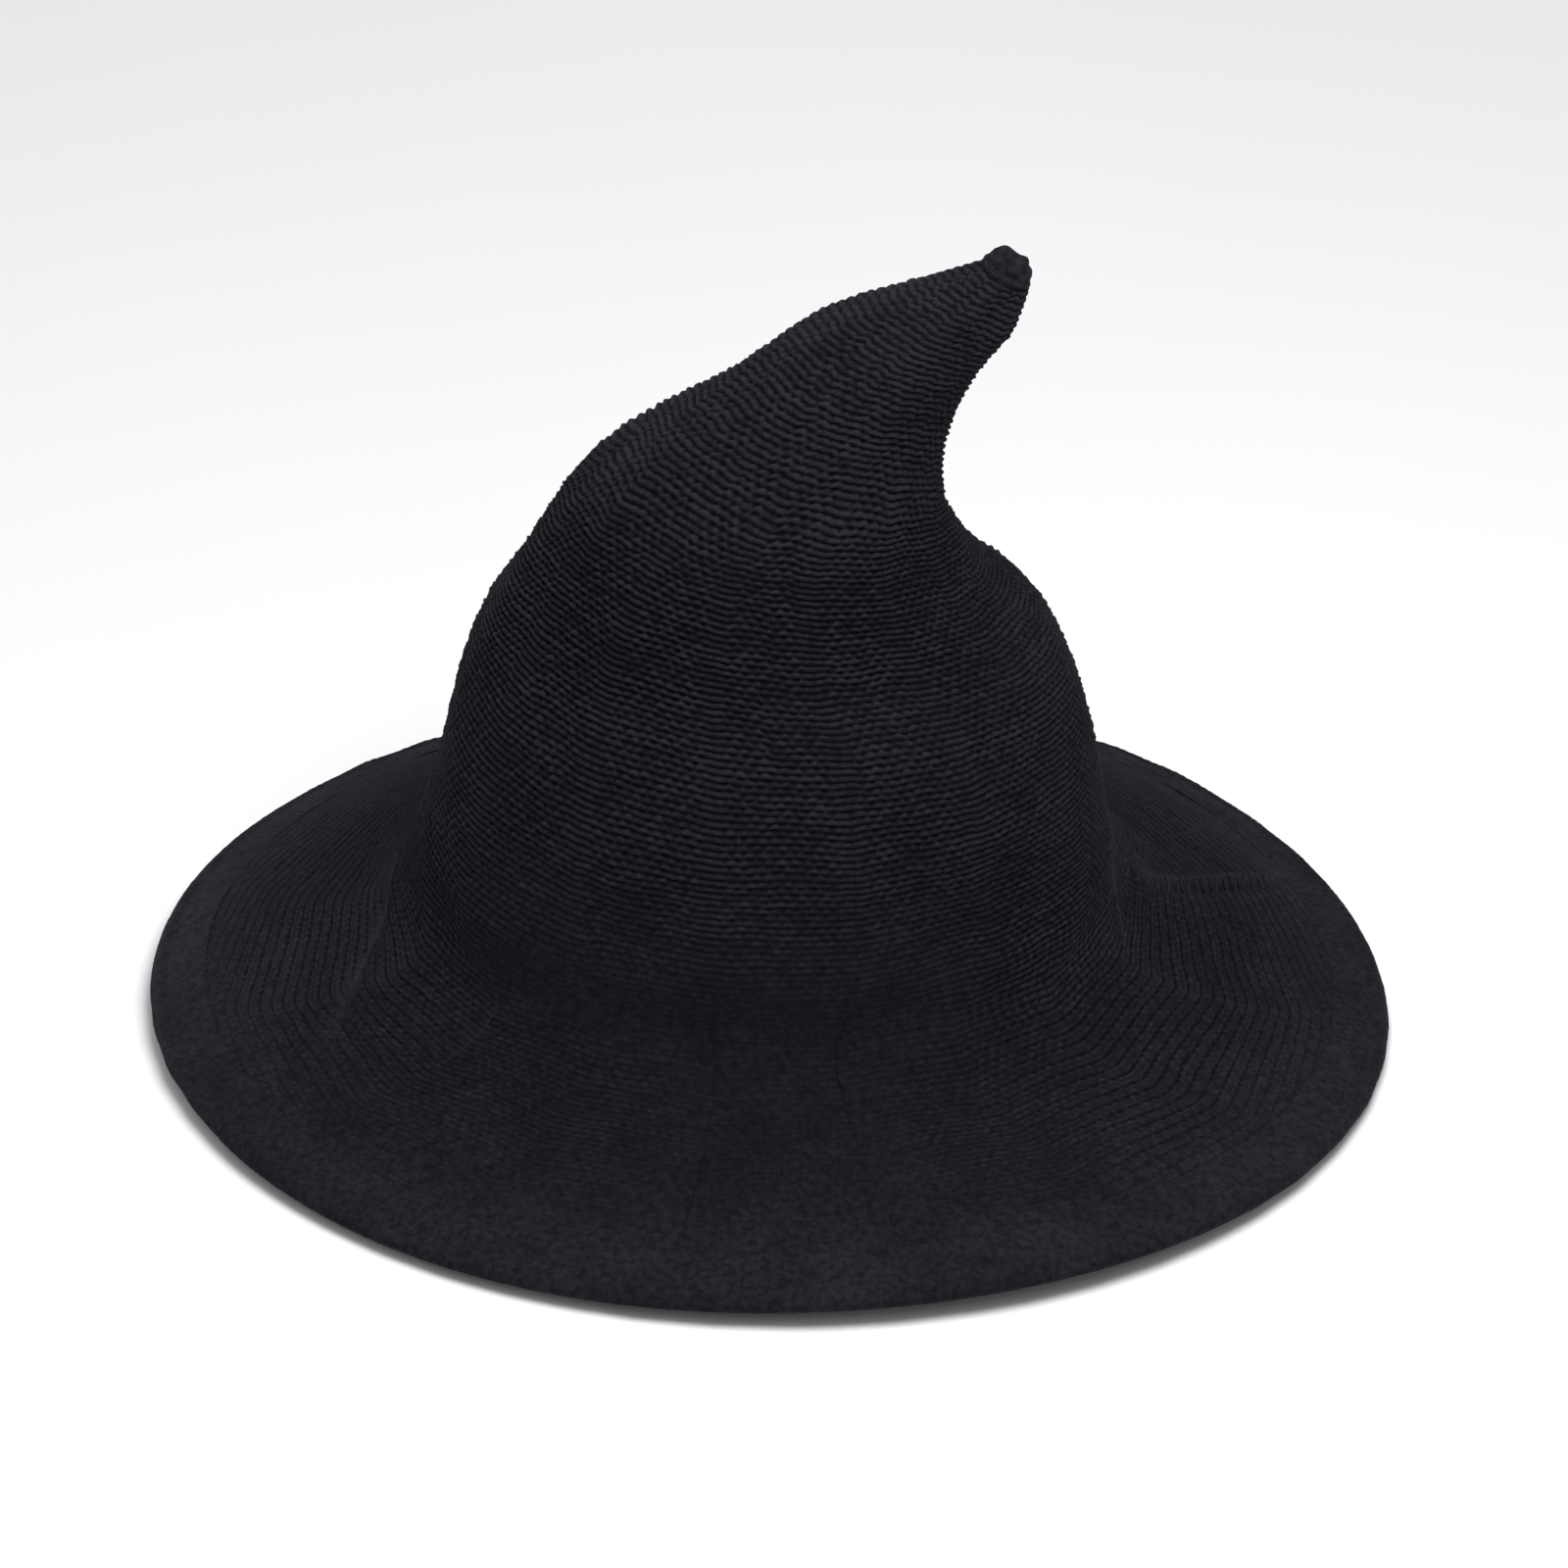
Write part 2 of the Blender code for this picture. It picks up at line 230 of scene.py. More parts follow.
def creases(place, azimuth, radius):
    """How far the creases raise the cloth, and their painted light: a painted highlight on each crest
    and painted shade in the seam's groove.
    """
    beside = from_link(place, azimuth, radius)
    along_crest = smoothstep(place, 0.1, 0.9) * smoothstep(place, 3.8, 2.8)
    along_groove = along_crest * smoothstep(place, 2.4, 1.2)
    rise, light = 0, 0
    for line, along in ((SEAM_CREST, along_crest), (SEAM_GROOVE, along_groove)):
        middle, wide, high, painted_light = line
        fold = np.exp(-(((beside - middle) / wide) ** 2)) * along
        rise = rise + high * fold
        light = light + painted_light * fold
    for places, degrees, high, wide, painted_light in CREASES:
        middle = np.radians(np.interp(place, places, degrees))
        across = ((azimuth - middle + math.pi) % TAU - math.pi) * radius
        start = smoothstep(place, places[0] - 0.3, places[0] + 0.4)
        end = smoothstep(place, places[-1] + 0.3, places[-1] - 0.2)
        fold = np.exp(-np.sqrt((across / wide) ** 2 + 0.1)) * start * end
        rise = rise + high * fold
        light = light + painted_light * fold
    return rise, light


def base(length, azimuth):
    """The knit's outer surface without its stitches."""
    length, azimuth = np.broadcast_arrays(length, azimuth)
    place = place_at(length)
    x, z, lean, radius = np.moveaxis(outline(place), -1, 0)
    bulge = -np.interp(place, KEYS, FACETS) * wedge(place, azimuth)[2]
    slack = SLACK * smoothstep(place, 0.3, 2) * ripple(length, azimuth, 11, 9, 0.05)
    radius = radius * (1 + bulge) + slack
    across = radius * np.cos(azimuth)
    fold = creases(place, azimuth, radius)[0]
    rise = rim_wave(azimuth) * smoothstep(place, 1.7, 0.1) + fold
    x, y, z = x + across * np.cos(lean), radius * np.sin(azimuth), z - across * np.sin(lean) + rise
    return np.stack([x, y, z], axis=-1)


def surface(length, azimuth):
    """Points of the outer surface without its stitches, and its normals over a small patch."""
    reach, turn = 0.0012, 0.012
    up_it = base(length + reach, azimuth) - base(length - reach, azimuth)
    round_it = base(length, azimuth + turn) - base(length, azimuth - turn)
    normal = np.cross(round_it, up_it)
    return base(length, azimuth), normal / np.linalg.norm(normal, axis=-1, keepdims=True)


# ---------------------------------------------------------------- the stitches

ARC_WIDTH = 0.205  # half the width of a row of arcs, as a share of a course
ARC_BOW = 0.046  # how far each arc bows along the course's height
CHANCE = np.random.default_rng(5).random(8192)


def chance(row, column, number, salt):
    """A random value for each stitch, from its row, its column and its wedge."""
    return CHANCE[(row * 1931 + column * 271 + number * 97 + salt * 4099).astype(int) % len(CHANCE)]


def loops(u, f, row, number, salt, half, middle, whole):
    """One row of yarn arcs along a course: u counts stitches and f is the height in the course."""
    column = np.floor(u + half)
    v = u + half - column - 0.5
    drift, size, plump = (chance(row, column, number, salt + k) - 0.5 for k in range(3))
    swell = np.cos(TAU * (v + 0.15 * drift)) * whole
    centre = middle + ARC_BOW * swell + 0.05 * drift * whole
    width = ARC_WIDTH * (1 + 0.06 * swell + 0.25 * plump * whole)
    height = (0.80 + 0.20 * swell) * (1 + 0.6 * size * whole)
    return height * np.clip(1 - ((f - centre) / width) ** 2, 0, 1) ** 0.75


def felting(place, azimuth):
    """1 at the front and 0 away from it, and the share of the stitches' depth that felting takes."""
    front = smoothstep(-np.sin(azimuth + 0.15), 0.5, 0.9)
    centre = smoothstep(-np.sin(azimuth - 0.05), 0.93, 0.99)
    smooth = 1 - 0.4 * (1 - centre) * smoothstep(place, 2.9, 2.3)
    lost = front * (0.78 * smooth * smoothstep(place, 5.2, 3.7) + 0.2 * smoothstep(place, 1.2, 0.5))
    return front, lost


def flat_shaded_patch(place, azimuth, radius):
    """1 in the flatter, blotched patch of brim behind the linking seam, and 0 away from it. The patch
    is painted darker there as shade, with a random mottle.
    """
    beside = from_link(place, azimuth, radius)
    round_it = smoothstep(beside, 0.001, 0.008) * smoothstep(beside, 0.12, 0.06)
    return round_it * smoothstep(place, 3.2, 2.2)


def stitches(length, azimuth):
    """The purl side's height in reliefs, then each point's stitch, course and yarn lightness. The
    lightness carries painted light and shade, darker between the arcs and lighter on them.
    """
    length, azimuth = np.broadcast_arrays(length, azimuth)
    place = place_at(length)
    radius = np.interp(length, LENGTHS, RADII)
    chords, rises, leans, spreads, twists, depth, full, tone_with_painted_light = (
        np.interp(place, KEYS, key)
        for key in (CHORDS, RISES, LEANS, SPREADS, TWISTS, DEPTHS, FULLNESS, TONES_WITH_PAINTED_LIGHT)
    )
    off, number, chord = wedge(place, azimuth)
    on_brim = smoothstep(place, 4.2, 1.6)
    chords = chords * (1 - 0.6 * on_brim * np.sin(azimuth) ** 2)
    draw = DRAW_IN * on_brim * smoothstep(np.sin(azimuth), -0.65, 0.6)
    tilt = rises * np.sin(azimuth) + leans * np.cos(azimuth)
    tilt = tilt - spreads * np.cos(2 * azimuth) + twists * np.sin(2 * azimuth)
    course = np.interp(length, LENGTHS, COURSES) + radius * (tilt - chords * chord - draw) / COURSE
    course = course + 0.07 * ripple(length, azimuth, 21, 30, 0.03)
    course = course + 0.03 * ripple(length, azimuth, 22, 90, 0.02)
    row = np.floor(course)
    f = course - row
    u = off * radius / STITCH
    whole = smoothstep(chord * radius, 0, 0.0006)
    heads = loops(u, f, row, number, 0, 0.5, 0.25, whole)
    feet = loops(u, f, row, number, 3, 0.0, 0.75, whole)
    front, lost = felting(place, azimuth)
    ridge = full * (1 - 0.85 * front) * np.clip(1 - ((f - 0.5) / 0.38) ** 2, 0, 1)
    even = 0.85 + 0.3 * chance(row, 0 * row, 0, 7)
    height = np.maximum(np.maximum(heads, feet) * even, ridge)
    shaded_patch = flat_shaded_patch(place, azimuth, radius)
    back = smoothstep(np.sin(azimuth), 0.35, 0.65) * on_brim
    # light is the creases' painted highlight on their crests and painted shade in the seam's groove
    light = creases(place, azimuth, radius)[1]
    depth = depth * (1 - lost) * (1 - 0.5 * np.maximum(shaded_patch, back))
    depth = depth * (1 - 2.6 * np.minimum(np.abs(light), 0.3))
    # Painted shade over the patch behind the seam: darker on average, with a random mottle
    blotch_and_shade = 0.07 - 0.10 * ripple(length, azimuth, 23, 50, 0.010, 14)
    # Painted shade: the brim is painted darker towards its back
    shade = 0.09 * on_brim * smoothstep(np.sin(azimuth), -0.4, 0.3)
    # The tone gathers painted light and shade: the outline's tones, the creases' crests and groove, the
    # patch behind the seam and the brim's back
    tone_with_painted_light = tone_with_painted_light + light - blotch_and_shade * shaded_patch - shade
    # Lighter on the arcs and darker between them: painted shade that follows the stitches' height
    return (height - SUNK) * depth, u, course, tone_with_painted_light + (height - 0.5) * np.minimum(depth, 1)


# ---------------------------------------------------------------- meshes


def quads(rows, columns, wrap=False):
    """Faces of a grid that is closed along its columns, and along its rows too if it wraps."""
    r = np.arange(rows if wrap else rows - 1)[:, None]
    c = np.arange(columns)[None, :]
    r2, c2 = (r + 1) % rows, (c + 1) % columns
    corners = [r * columns + c, r * columns + c2, r2 * columns + c2, r2 * columns + c]
    return np.stack([np.broadcast_to(k, (len(r), columns)) for k in corners], axis=-1).reshape(-1, 4)


def fan(outer, inner):
    """Triangles from a ring of outer corners to a ring of fewer inner ones."""
    share = len(outer) // len(inner)
    k = np.arange(len(outer))
    after = outer[(k + 1) % len(outer)]
    spokes = np.stack([after, outer, inner[k // share]], axis=-1)
    j = np.arange(len(inner))
    after = (j + 1) % len(inner)
    gaps = np.stack([inner, inner[after], outer[after * share]], axis=-1)
    return np.vstack([spokes, gaps])


def new_mesh(name, points, faces, looks, smooth=None, marks=None):
    """An object from arrays of points and faces. Each array of faces takes the next of its looks.

    Marks are each point's stitch, course and yarn lightness, which the wool's materials read. On
    the knit the lightness carries painted light and shade.
    """
    mesh = bpy.data.meshes.new(name)
    points = np.asarray(points, np.float32).reshape(-1, 3)
    mesh.vertices.add(len(points))
    mesh.vertices.foreach_set("co", points.ravel())
    sizes = np.concatenate([np.full(len(part), part.shape[1]) for part in faces])
    corners = np.concatenate([part.ravel() for part in faces]).astype(np.int32)
    mesh.loops.add(len(corners))
    mesh.loops.foreach_set("vertex_index", corners)
    mesh.polygons.add(len(sizes))
    starts = np.concatenate([[0], np.cumsum(sizes)[:-1]]).astype(np.int32)
    mesh.polygons.foreach_set("loop_start", starts)
    if marks is not None:
        stitch = mesh.attributes.new("stitch", "FLOAT_VECTOR", "POINT")
        stitch.data.foreach_set("vector", np.asarray(marks, np.float32).ravel())
    mesh.update(calc_edges=True)
    smooth = smooth or [True] * len(faces)
    mesh.polygons.foreach_set("use_smooth", np.repeat(smooth, [len(part) for part in faces]))
    for look in looks:
        mesh.materials.append(look)
    index = [min(k, len(looks) - 1) for k in range(len(faces))]
    index = np.repeat(index, [len(part) for part in faces]).astype(np.int32)
    mesh.polygons.foreach_set("material_index", index)
    obj = bpy.data.objects.new(name, mesh)
    bpy.context.scene.collection.objects.link(obj)
    return obj


def knit_band(name, start, end, looks):
    """A closed band of knit between two lengths from the hem, with a coarser inner side."""
    step = COURSE / ROWS_PER_COURSE * COARSE
    rows = max(1, round((end - start) / step)) * COARSE + 1
    widest = float(np.interp([start, end], LENGTHS, RADII).max())
    columns = round(TAU * widest / COLUMN / COARSE) * COARSE
    length = np.linspace(start, end, rows)[:, None]
    azimuth = (np.arange(columns) * TAU / columns)[None, :]
    points, normals = surface(length, azimuth)
    # light is the yarn's lightness, with its painted light and shade
    height, u, course, light = stitches(length, azimuth)
    outer = points + normals * (RELIEF * height)[..., None]
    thin = (slice(None, None, COARSE), slice(None, None, COARSE))
    inner = (points - normals * KNIT)[thin]
    marks = np.stack([u, course, light], axis=-1)
    few = columns // COARSE
    low, high = np.arange(columns), (rows - 1) * columns + np.arange(columns)
    first = rows * columns
    inner_low = first + np.arange(few)
    inner_high = first + (inner.shape[0] - 1) * few + np.arange(few)
    faces = [
        quads(rows, columns),
        first + quads(inner.shape[0], few)[:, ::-1],
        fan(low, inner_low),
        fan(high, inner_high)[:, ::-1],
    ]
    points = np.concatenate([outer.reshape(-1, 3), inner.reshape(-1, 3)])
    marks = np.concatenate([marks.reshape(-1, 3), marks[thin].reshape(-1, 3)])
    return new_mesh(name, points, faces, looks, [True, True, False, False], marks)


def ring(name, grid, look, marks=None):
    """A closed band from a grid of points: rows go round its section, columns round the hat."""
    return new_mesh(name, grid, [quads(*grid.shape[:2], wrap=True)], [look], marks=marks)


def rings_round(path, radius, sides, closed=False):
    """Rings of points round a path that is never upright. The radius may change along it."""
    if closed:
        along = np.roll(path, -1, 0) - np.roll(path, 1, 0)
    else:
        along = np.gradient(path, axis=0)
    along /= np.linalg.norm(along, axis=1, keepdims=True)
    side = np.cross(along, (0, 0, 1.0))
    side /= np.linalg.norm(side, axis=1, keepdims=True)
    up = np.cross(side, along)
    turn = np.arange(sides) * TAU / sides
    spread = np.cos(turn)[None, :, None] * side[:, None] + np.sin(turn)[None, :, None] * up[:, None]
    return path[:, None] + np.reshape(radius, (-1, 1, 1)) * spread


def tube(name, path, radius, look, sides=8, closed=False):
    """A round strand along a path of points, capped at its ends unless it is closed."""
    grid = rings_round(path, radius, sides, closed)
    faces = [quads(len(path), sides, wrap=closed)[:, ::-1]]
    if not closed:
        last = (len(path) - 1) * sides
        faces += [np.arange(sides)[None, :], last + np.arange(sides)[None, ::-1]]
    return new_mesh(name, grid, faces, [look])


# ---------------------------------------------------------------- materials


# The middle of a noise node's values, where most of them lie
NOISE_LOW = 0.3
NOISE_HIGH = 0.7


class Look:
    """A material's node tree, with short ways to add what these materials share."""

    def __init__(self, name, roughness=0.9, metallic=0.0, specular=0.2):
        self.material = bpy.data.materials.new(name)
        self.material.use_nodes = True
        self.nodes = self.material.node_tree.nodes
        self.links = self.material.node_tree.links
        self.shader = self.nodes["Principled BSDF"]
        self.shader.inputs["Roughness"].default_value = roughness
        self.shader.inputs["Metallic"].default_value = metallic
        self.shader.inputs["Specular IOR Level"].default_value = specular

    def sheen(self, weight, roughness, tint):
        self.shader.inputs["Sheen Weight"].default_value = weight
        self.shader.inputs["Sheen Roughness"].default_value = roughness
        self.shader.inputs["Sheen Tint"].default_value = (*tint, 1)

    def coordinates(self):
        return self.nodes.new("ShaderNodeTexCoord").outputs["Object"]

    def attribute(self):
        node = self.nodes.new("ShaderNodeAttribute")
        node.attribute_name = "stitch"
        parts = self.nodes.new("ShaderNodeSeparateXYZ")
        self.links.new(node.outputs["Vector"], parts.inputs[0])
        return parts.outputs

    def noise(self, vector, scale, detail=2.0, roughness=0.5):
        node = self.nodes.new("ShaderNodeTexNoise")
        node.inputs["Scale"].default_value = scale
        node.inputs["Detail"].default_value = detail
        node.inputs["Roughness"].default_value = roughness
        self.links.new(vector, node.inputs["Vector"])
        return node.outputs["Fac"]

    def math(self, operation, *values):
        node = self.nodes.new("ShaderNodeMath")
        node.operation = operation
        for socket, value in zip(node.inputs, values):
            if isinstance(value, (int, float)):
                socket.default_value = value
            else:
                self.links.new(value, socket)
        return node.outputs[0]

    def span(self, value, low, high, start, end):
        node = self.nodes.new("ShaderNodeMapRange")
        for name, number in zip(("From Min", "From Max", "To Min", "To Max"), (low, high, start, end)):
            node.inputs[name].default_value = number
        self.links.new(value, node.inputs["Value"])
        return node.outputs["Result"]

    def noise_span(self, value, start, end):
        return self.span(value, NOISE_LOW, NOISE_HIGH, start, end)

    def color(self, dark, light, factor):
        node = self.nodes.new("ShaderNodeMix")
        node.data_type = "RGBA"
        node.inputs["A"].default_value = (*dark, 1)
        node.inputs["B"].default_value = (*light, 1)
        self.links.new(factor, node.inputs["Factor"])
        self.links.new(node.outputs["Result"], self.shader.inputs["Base Color"])

    def bump(self, height, distance, strength=1.0):
        node = self.nodes.new("ShaderNodeBump")
        node.inputs["Distance"].default_value = distance
        node.inputs["Strength"].default_value = strength
        self.links.new(height, node.inputs["Height"])
        self.links.new(node.outputs["Normal"], self.shader.inputs["Normal"])

    def rough(self, value):
        self.links.new(value, self.shader.inputs["Roughness"])


# The wool, dark and light: the dark colour is painted shade between its stitches as well as the
# yarn's darker fibres, and the light colour is the yarn on them
WOOL_DARK = (0.0030, 0.0028, 0.0037)
WOOL_LIGHT = (0.0199, 0.0189, 0.0246)
WOOL_SPECULAR = 0.03
SHEEN_TINT = (0.80, 0.80, 0.92)
FIBRE = 1700  # scale of the wool's fibres
TWISTS_PER_STITCH = 5
PAINTED_LIGHT_FROM = 42  # the courses over which the yarn is painted paler up the peak, as painted light
PAINTED_LIGHT_TO = 60


def wool_purl(name):
    """The outer side: heathered yarn with a twist along each arc, painted darker between the arcs as
    shade, and painted paler up the peak as light.
    """
    look = Look(name, specular=WOOL_SPECULAR)
    look.sheen(0.04, 0.25, SHEEN_TINT)
    where = look.coordinates()
    # yarn is the lightness mark, with its painted light and shade
    u, course, yarn = look.attribute()
    patches = look.noise(where, 45, 3)
    fibres = look.noise(where, FIBRE, 4, 0.7)
    mottle = look.noise(where, 500, 3, 0.6)
    shades = (
        look.noise_span(patches, 0.75, 1.15),
        look.noise_span(fibres, 0.65, 1.25),
        look.span(mottle, 0.33, 0.67, 0.48, 1.46),
        # painted light: the yarn painted paler up the peak
        look.span(course, PAINTED_LIGHT_FROM, PAINTED_LIGHT_TO, 1.0, 1.3),
    )
    for shade in shades:
        yarn = look.math("MULTIPLY", yarn, shade)
    look.color(WOOL_DARK, WOOL_LIGHT, yarn)
    look.rough(look.noise_span(fibres, 0.85, 1.0))
    turns = look.math("MULTIPLY", u, TWISTS_PER_STITCH)
    lean = look.math("ADD", turns, look.math("MULTIPLY", course, 7))
    twist = look.math("SINE", look.math("MULTIPLY", lean, TAU))
    look.bump(look.math("ADD", look.math("MULTIPLY", twist, 0.35), fibres), 0.00022, 0.7)
    return look.material


def wool_knit():
    """The inner side: columns of flat V stitches, painted darker between their ridges as shade."""
    look = Look("wool_knit", specular=WOOL_SPECULAR)
    look.sheen(0.02, 0.45, SHEEN_TINT)
    u, course, _ = look.attribute()
    across = look.math("PINGPONG", u, 0.5)
    leg = look.math("ADD", course, look.math("MULTIPLY", across, 1.3))
    vee = look.math("SINE", look.math("MULTIPLY", leg, TAU))
    column = look.math("SINE", look.math("MULTIPLY", across, TAU))
    column = look.math("MULTIPLY", column, 0.6)
    ridge = look.math("ADD", look.span(vee, -1, 1, 0, 1), column)
    fibres = look.noise(look.coordinates(), FIBRE, 4, 0.7)
    # Painted shade between the V ridges, with the fibres' random tone
    shade = look.math("MULTIPLY", look.span(ridge, 0, 1.6, 0.2, 1), look.noise_span(fibres, 0.7, 1.2))
    look.color(WOOL_DARK, WOOL_LIGHT, shade)
    look.bump(look.math("ADD", ridge, look.math("MULTIPLY", fibres, 0.35)), 0.0007, 0.8)
    return look.material


def wool_yarn():
    """Loose yarn, for the linking seam."""
    look = Look("wool_yarn", specular=WOOL_SPECULAR)
    look.sheen(0.02, 0.45, SHEEN_TINT)
    fibres = look.noise(look.coordinates(), 1900, 4, 0.7)
    look.color(WOOL_DARK, WOOL_LIGHT, look.noise_span(fibres, 0.4, 1.2))
    look.bump(fibres, 0.0002, 0.8)
    return look.material


def grosgrain():
    """The sweatband's ribbon: fine threads between the ribs of its mesh, with a satin gloss."""
    look = Look("grosgrain", specular=0.4)
    look.sheen(0.08, 0.3, SHEEN_TINT)
    where = look.coordinates()
    weave = look.noise(where, 2600, 3, 0.6)
    look.color((0.004, 0.004, 0.005), (0.013, 0.013, 0.016), look.noise_span(weave, 0, 1))
    look.rough(look.noise_span(weave, 0.45, 0.7))
    look.bump(weave, 0.00012, 0.7)
    return look.material


def thread_look():
    """Black sewing thread, a little smoother than the wool."""
    look = Look("spun_thread", 0.7, specular=0.05)
    fibres = look.noise(look.coordinates(), 3200, 3, 0.6)
    look.color((0.003, 0.003, 0.004), (0.011, 0.011, 0.014), look.noise_span(fibres, 0, 1))
    look.bump(fibres, 0.0001, 0.7)
    return look.material


def satin():
    """The blank label: cream satin with a fine weave and faint soiling."""
    look = Look("label_satin", 0.42, specular=0.5)
    look.sheen(0.15, 0.3, (1, 1, 1))
    where = look.coordinates()
    weave = look.noise(where, 2400, 3, 0.6)
    soil = look.noise(where, 120, 3)
    shade = look.math("MULTIPLY", look.noise_span(weave, 0.6, 1), look.noise_span(soil, 0.8, 1))
    look.color((0.60, 0.585, 0.55), (0.76, 0.75, 0.72), shade)
    look.bump(weave, 0.00008, 0.6)
    return look.material


def steel():
    """Drawn spring steel with a dull, uneven film."""
    look = Look("drawn_steel", metallic=1.0, specular=0.5)
    film = look.noise(look.coordinates(), 700, 3, 0.6)
    look.color((0.40, 0.40, 0.41), (0.58, 0.58, 0.59), look.noise_span(film, 0, 1))
    look.rough(look.noise_span(film, 0.25, 0.5))
    look.bump(film, 0.00005, 0.5)
    return look.material


def floor_look():
    """A pale, matt studio floor."""
    look = Look("pale_floor", 0.9, specular=0.1)
    look.color((0.86, 0.86, 0.87), (0.90, 0.90, 0.91), look.noise(look.coordinates(), 3, 2))
    return look.material


# ---------------------------------------------------------------- the hat's pieces


def fixed(piece, body, node):
    """The piece moves with one body and stands for a CAD node."""
    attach(piece, body)
    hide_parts(node)


def bent(piece, node):
    """The piece's placement is baked into its mesh, and it stands for a CAD node."""
    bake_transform(piece)
    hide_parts(node)


# The knit's bands from the hem up: name, the CAD node, and whether the band has its placement baked
# in rather than being fixed to the hat
BANDS = (
    ("knit_brim_rim", "brim_knit", False),
    ("knit_brim_middle", "brim_knit", False),
    ("knit_brim_foot", "brim_knit", False),
    ("knit_crown_foot", "crown_knit", False),
    ("knit_crown_side", "crown_knit", False),
    ("knit_crown_top", "crown_knit", True),
    ("knit_neck", "neck_knit", True),
    ("knit_peak", "peak_knit", True),
)


def make_knit():
    """The knit in bands that meet end to end."""
    ends = [length_at(BRIM_EDGE), *(COURSE * course for course in BAND_ENDS), length_at(TIP_EDGE)]
    for (name, node, bends), start, end in zip(BANDS, ends, ends[1:]):
        piece = knit_band(name, start, end, [WOOL, WOOL_INSIDE])
        if bends:
            bent(piece, node)
        else:
            fixed(piece, "hat", node)


# The tip: its half height, its width as a share of the peak's, and its lobes with the notch between
# them, each by its direction, its height as a share of the radius, and its spread
TIP_RISE = 0.0066
TIP_WIDTH = 0.90
TIP_LOBES = (
    ((-0.86, -0.12, 0.50), 0.17, 0.20),
    ((-0.46, -0.19, 0.87), 0.40, 0.08),
    ((-0.14, -0.20, 0.97), -0.36, 0.012),
    ((0.24, -0.17, 0.95), 0.28, 0.03),
)


def make_tip():
    """The blunt tip: the last stitches drawn together into soft lobes that fill the peak's end."""
    rows, columns = 72, 120
    tilts = (np.arange(rows) + 0.5) * math.pi / rows
    turns = np.arange(columns) * TAU / columns
    tilt, turn = np.meshgrid(tilts, turns, indexing="ij")
    way = np.stack([np.sin(tilt) * np.cos(turn), np.sin(tilt) * np.sin(turn), np.cos(tilt)], axis=-1)
    rings = np.cos(14 * tilt + 0.8 * np.sin(3 * turn))
    spokes = np.cos(12 * turn + 4 * np.sin(2 * tilt))
    dots = rings * (0.6 + 0.4 * spokes)
    specks = ripple(tilt, turn, 43, 36, 0.15, 20) * np.sin(tilt)
    lumps = 0.03 * ripple(tilt, turn, 41, 7, 0.7)
    lumps = lumps + 0.055 * dots * np.sin(tilt) + 0.006 * specks
    size = 1.0 + lumps * np.sin(tilt)
    for lobe, height, spread in TIP_LOBES:
        near = way @ (np.array(lobe) / np.linalg.norm(lobe))
        size = size + height * np.exp(-((1 - near) / spread))
    x, z, lean, radius = outline(TIP_EDGE)
    points = way * size[..., None] * (radius * TIP_WIDTH, radius * TIP_WIDTH, TIP_RISE)
    points = points @ np.array(Matrix.Rotation(lean, 3, "Y")).T + (x, 0, z)
    points = points.reshape(-1, 3)
    poles = points[:columns].mean(0), points[-columns:].mean(0)
    top, bottom = len(points), len(points) + 1
    c = np.arange(columns)
    after = (c + 1) % columns
    last = (rows - 1) * columns
    faces = [
        quads(rows, columns)[:, ::-1],
        np.stack([c, after, np.full(columns, top)], axis=-1),
        np.stack([last + after, last + c, np.full(columns, bottom)], axis=-1),
    ]
    # The lightness rises and falls with the lumps' height: painted light on their tops and painted
    # shade in their hollows, with random specks
    marks = np.stack([turn * 2, tilt * 3, 0.72 + 5.0 * lumps + 0.16 * specks], axis=-1).reshape(-1, 3)
    marks = np.vstack([marks, marks[:1], marks[-1:]])
    nub = new_mesh("tip_nub", np.vstack([points, *poles]), faces, [WOOL], marks=marks)
    fixed(nub, "peak", "tip_gather")


# The hem's fold: where its top edge lies on the brim, and the middle of its wall round the nose and
# under it, as (radius, height)
HEM_TOP_LENGTH = 0.0125
HEM_WALL = 0.0013
HEM_POINTS = 48  # on the outer side of its section
HEM_COARSE = 3  # points of the outer side to each one of the hidden inner side
HEM_NOSE = (
    (0.1695, 0.00600),
    (0.1709, 0.00465),
    (0.1713, 0.00310),
    (0.1702, 0.00155),
    (0.1683, 0.00090),
    (0.1655, 0.00075),
    (0.1618, 0.00080),
)


def hem_section(count):
    """The closed section of the hem's wall, from a feather edge on the brim round to the underside."""
    lengths = np.linspace(HEM_TOP_LENGTH, 0.001, 6)
    top = outline(place_at(lengths))[:, [3, 1]]
    lift = np.linspace(-0.00025, 0.0003, 6)
    path = np.vstack([top + lift[:, None] * (0.45, 0.89), HEM_NOSE])
    line = curve(path, np.linspace(0, len(path) - 1, count))
    along = np.gradient(line, axis=0)
    along /= np.linalg.norm(along, axis=1, keepdims=True)
    normal = np.stack([-along[:, 1], along[:, 0]], axis=-1)
    t = np.linspace(0, 1, count)
    half = HEM_WALL / 2 * np.clip(0.22 + 3.5 * t, 0, 1) * np.clip(0.3 + 9 * (1 - t), 0, 1)
    outer, inner = line + normal * half[:, None], line - normal * half[:, None]
    return np.vstack([outer, inner[::-HEM_COARSE]])


